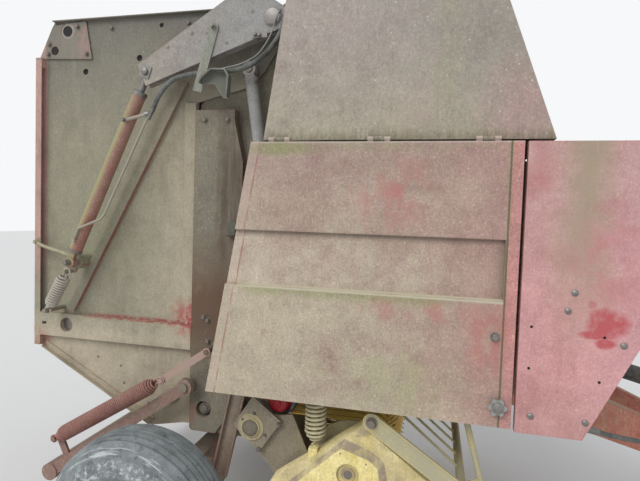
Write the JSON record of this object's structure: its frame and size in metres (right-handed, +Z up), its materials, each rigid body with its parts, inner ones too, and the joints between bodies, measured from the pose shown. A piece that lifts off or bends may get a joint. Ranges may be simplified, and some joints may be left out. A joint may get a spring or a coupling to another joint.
{
  "type": "round baler",
  "caption": "Towed round baler with belts in a side-plate chamber, lifting tailgate, tined pickup, hinged side shields, bale ramp, tongue on a jack and two tyred wheels.",
  "frame": {"origin": "on the ground at the middle of the machine", "axes": "+X forward to the hitch, +Y to the left, +Z up"},
  "size_m": [4.04, 2.38, 2.8],
  "materials": {
    "red_paint": "faded, chalky, dusty red paint",
    "khaki_paint": "red paint under tan dust and green algae",
    "rim_paint": "dirty paint",
    "yellow_paint": "dull yellow paint with dirt",
    "grey_paint": "oily cast housing",
    "bare_steel": "worn steel",
    "chain_steel": "oiled steel",
    "galvanized": "dull zinc",
    "chrome_rod": "polished rod",
    "spring_paint": "dull paint with rust",
    "belt_rubber": "ribbed, dusty rubber",
    "hose_rubber": "dusty hose",
    "black_plastic": "weathered plastic",
    "tyre_rubber": "scuffed, dusty"
  },
  "bodies": {
    "frame": {"main_frame": "red_paint", "cross_members": "red_paint", "shield_brackets": "red_paint", "axle": "red_paint", "tongue": "red_paint", "hitch_clevis": "bare_steel", "gearbox": "grey_paint", "frame_rolls": "bare_steel", "frame_belts": "belt_rubber", "side_drives": "bare_steel", "drive_chains": "chain_steel", "upper_panels": "red_paint", "front_shields": "red_paint", "front_hood": "red_paint", "twine_box": "red_paint", "jack_tube": "red_paint", "driveline_guard": "black_plastic", "hydraulic_hose": "hose_rubber"},
    "wheel_left": {"tyre_left": "tyre_rubber", "rim_left": "rim_paint"},
    "wheel_right": {"tyre_right": "tyre_rubber", "rim_right": "rim_paint"},
    "gate": {"tailgate": "khaki_paint", "tailgate_rolls": "bare_steel", "tailgate_belts": "belt_rubber", "density_springs": "spring_paint"},
    "tension_arm": {"tension_arms": "red_paint", "safety_stops": "galvanized"},
    "tension_barrel": {"tension_barrels": "red_paint"},
    "tension_rod": {"tension_rods": "chrome_rod"},
    "lift_barrel": {"lift_barrels": "red_paint"},
    "lift_rod": {"lift_rods": "chrome_rod"},
    "side_shield_left": {"shield_left": "red_paint"},
    "side_shield_right": {"shield_right": "red_paint"},
    "pickup": {"pickup_frame": "yellow_paint", "pickup_crossbar": "yellow_paint", "stripper_bands": "yellow_paint", "flotation_springs": "yellow_paint"},
    "reel": {"pickup_reel": "yellow_paint"},
    "guard_rods": {"windguard": "yellow_paint"},
    "ramp": {"bale_ramp": "red_paint", "ramp_springs": "red_paint"},
    "jack": {"jack_leg": "bare_steel"},
    "driveline": {"driveline_shaft": "bare_steel"},
    "lid": {"twine_lid": "red_paint"}
  },
  "joints": [
    {"name": "wheel_left_spin", "type": "hinge", "parent": "frame", "child": "wheel_left", "pos_m": [-1.08, 1.06, 0.385], "axis": [0, 1, 0], "continuous": true},
    {"name": "wheel_right_spin", "type": "hinge", "parent": "frame", "child": "wheel_right", "pos_m": [-1.08, -1.06, 0.385], "axis": [0, 1, 0], "continuous": true},
    {"name": "tailgate_lift", "type": "hinge", "parent": "frame", "child": "gate", "pos_m": [-0.65, 0, 2.58], "axis": [0, 1, 0], "range_deg": [0, 60]},
    {"name": "tension_swing", "type": "hinge", "parent": "gate", "child": "tension_arm", "pos_m": [-0.65, 0, 2.58], "axis": [0, 1, 0], "range_deg": [0, 25]},
    {"name": "tension_barrel_swing", "type": "hinge", "parent": "gate", "child": "tension_barrel", "pos_m": [-1.714, 0, 1.423], "axis": [0, 1, 0], "range_deg": [-8.5, 0]},
    {"name": "tension_rod_slide", "type": "slide", "parent": "tension_barrel", "child": "tension_rod", "axis": [0.4172, 0, 0.9088], "range_m": [0, 0.27]},
    {"name": "lift_barrel_swing", "type": "hinge", "parent": "gate", "child": "lift_barrel", "pos_m": [-0.785, 0, 2.38], "axis": [0, 1, 0], "range_deg": [-66, 0.5]},
    {"name": "lift_rod_slide", "type": "slide", "parent": "lift_barrel", "child": "lift_rod", "axis": [0.1644, 0, -0.9864], "range_m": [0, 0.25]},
    {"name": "shield_left_open", "type": "hinge", "parent": "frame", "child": "side_shield_left", "pos_m": [-0.18, 0.88, 2.018], "axis": [1, 0, 0], "range_deg": [0, 85]},
    {"name": "shield_right_open", "type": "hinge", "parent": "frame", "child": "side_shield_right", "pos_m": [-0.18, -0.88, 2.018], "axis": [-1, 0, 0], "range_deg": [0, 85]},
    {"name": "pickup_lift", "type": "hinge", "parent": "frame", "child": "pickup", "pos_m": [-0.724, 0, 0.679], "axis": [0, 1, 0], "range_deg": [0, 30], "deforming": ["flotation_springs"]},
    {"name": "reel_spin", "type": "hinge", "parent": "pickup", "child": "reel", "pos_m": [-0.23, 0, 0.56], "axis": [0, 1, 0], "continuous": true},
    {"name": "windguard_lift", "type": "hinge", "parent": "pickup", "child": "guard_rods", "pos_m": [-0.132, 0, 0.828], "axis": [0, -1, 0], "range_deg": [0, 30]},
    {"name": "ramp_lower", "type": "hinge", "parent": "frame", "child": "ramp", "pos_m": [-1.06, 0, 0.845], "axis": [0, -1, 0], "range_deg": [0, 18], "deforming": ["ramp_springs"]},
    {"name": "jack_slide", "type": "slide", "parent": "frame", "child": "jack", "axis": [0, 0, 1], "range_m": [0, 0.25]},
    {"name": "driveline_spin", "type": "hinge", "parent": "frame", "child": "driveline", "pos_m": [0.82, 0, 1.01], "axis": [0.9691, 0, -0.2468], "continuous": true},
    {"name": "twine_lid_open", "type": "hinge", "parent": "frame", "child": "lid", "pos_m": [0.534, 0, 1.998], "axis": [0, -1, 0], "range_deg": [0, 75]}
  ],
  "couplings": [
    {"joint": "tension_barrel_swing", "follows": "tension_swing", "ratio": -0.30815},
    {"joint": "tension_rod_slide", "follows": "tension_swing", "m_per_rad": 0.56877},
    {"joint": "lift_barrel_swing", "follows": "tailgate_lift", "ratio": -1.0673},
    {"joint": "lift_rod_slide", "follows": "tailgate_lift", "m_per_rad": 0.21572}
  ]
}
